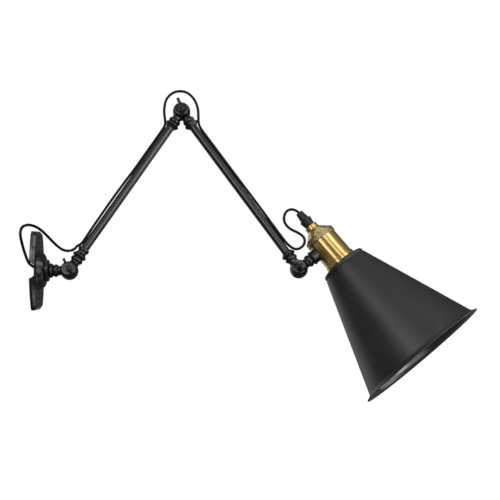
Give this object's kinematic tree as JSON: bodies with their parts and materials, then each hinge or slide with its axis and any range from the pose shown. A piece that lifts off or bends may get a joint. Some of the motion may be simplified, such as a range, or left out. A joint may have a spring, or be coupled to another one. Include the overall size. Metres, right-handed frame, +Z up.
{
  "type": "adjustable wall lamp",
  "caption": "Adjustable wall lamp: swivelling wall plate, jointed tube arms clamped by thumbscrews, side-carried brass lampholder and black conical metal shade.",
  "frame": {"origin": "centre of the wall plate's back, on the wall plane, half way between its two screw holes", "axes": "+X out of the wall along the swivel's axis, +Z up, +Y across the wall; the thumbscrews face towards -Y"},
  "size_m": [0.5487, 0.1928, 0.3979],
  "materials": {
    "arm_black": "satin black paint",
    "shade_black": "matte black paint",
    "aged_brass": "aged, brushed round",
    "bright_brass": "bright",
    "grip_plastic": "matte",
    "cable_sheath": "satin",
    "insert_white": "glazed",
    "fibre": "matte",
    "zinc_steel": "zinc plated"
  },
  "bodies": {
    "base": {"wall_plate": "arm_black", "cable_base_loop": "cable_sheath"},
    "swivel": {"base_stem": "arm_black", "stem_washer": "zinc_steel", "stem_nut": "zinc_steel", "lower_friction_washer": "fibre"},
    "lower_clamp": {"lower_thumbscrew": "arm_black"},
    "lower_arm": {"lower_arm_foot": "arm_black", "lower_tube": "arm_black", "lower_arm_head": "arm_black", "elbow_friction_washer": "fibre", "cable_lower_run": "cable_sheath"},
    "elbow_clamp": {"elbow_thumbscrew": "arm_black"},
    "upper_arm": {"upper_arm_top": "arm_black", "upper_tube": "arm_black", "upper_arm_end": "arm_black", "head_friction_washer": "fibre", "cable_upper_run": "cable_sheath"},
    "head_clamp": {"head_thumbscrew": "arm_black"},
    "head": {"head_stem": "arm_black", "head_stem_nut": "zinc_steel", "holder_shell": "aged_brass", "knurled_ring": "aged_brass", "holder_cap": "aged_brass", "cap_screw": "bright_brass", "cord_grip_body": "grip_plastic", "cord_grip_nut": "grip_plastic", "socket_insert": "insert_white", "screw_shell": "bright_brass", "centre_contact": "bright_brass", "terminal_screws": "bright_brass", "shade": "shade_black", "shade_ring": "grip_plastic", "cable_head_loop": "cable_sheath"}
  },
  "joints": [
    {"name": "base_swivel", "type": "hinge", "parent": "base", "child": "swivel", "pos_m": [0, 0, 0], "axis": [1, 0, 0], "range_deg": [-72, 108], "deforming": ["cable_base_loop"]},
    {"name": "lower_hinge", "type": "hinge", "parent": "swivel", "child": "lower_arm", "pos_m": [0.0433, 0, 0], "axis": [0, -0.9511, 0.309], "range_deg": [-50, 32], "deforming": ["cable_lower_run"]},
    {"name": "elbow_hinge", "type": "hinge", "parent": "lower_arm", "child": "upper_arm", "pos_m": [0.17993, 0.06705, 0.20635], "axis": [0, -0.9511, 0.309], "range_deg": [-4, 110], "deforming": ["cable_upper_run"]},
    {"name": "head_hinge", "type": "hinge", "parent": "upper_arm", "child": "head", "pos_m": [0.33038, 0.00065, 0.002], "axis": [0, -0.9511, 0.309], "range_deg": [-110, 20], "deforming": ["cable_head_loop"]},
    {"name": "lower_clamp_turn", "type": "hinge", "parent": "swivel", "child": "lower_clamp", "pos_m": [0.0433, 0, 0], "axis": [0, -0.9511, 0.309], "range_deg": [0, 360]},
    {"name": "elbow_clamp_turn", "type": "hinge", "parent": "lower_arm", "child": "elbow_clamp", "pos_m": [0.17993, 0.06705, 0.20635], "axis": [0, -0.9511, 0.309], "range_deg": [0, 360]},
    {"name": "head_clamp_turn", "type": "hinge", "parent": "upper_arm", "child": "head_clamp", "pos_m": [0.33038, 0.00065, 0.002], "axis": [0, -0.9511, 0.309], "range_deg": [0, 360]}
  ]
}
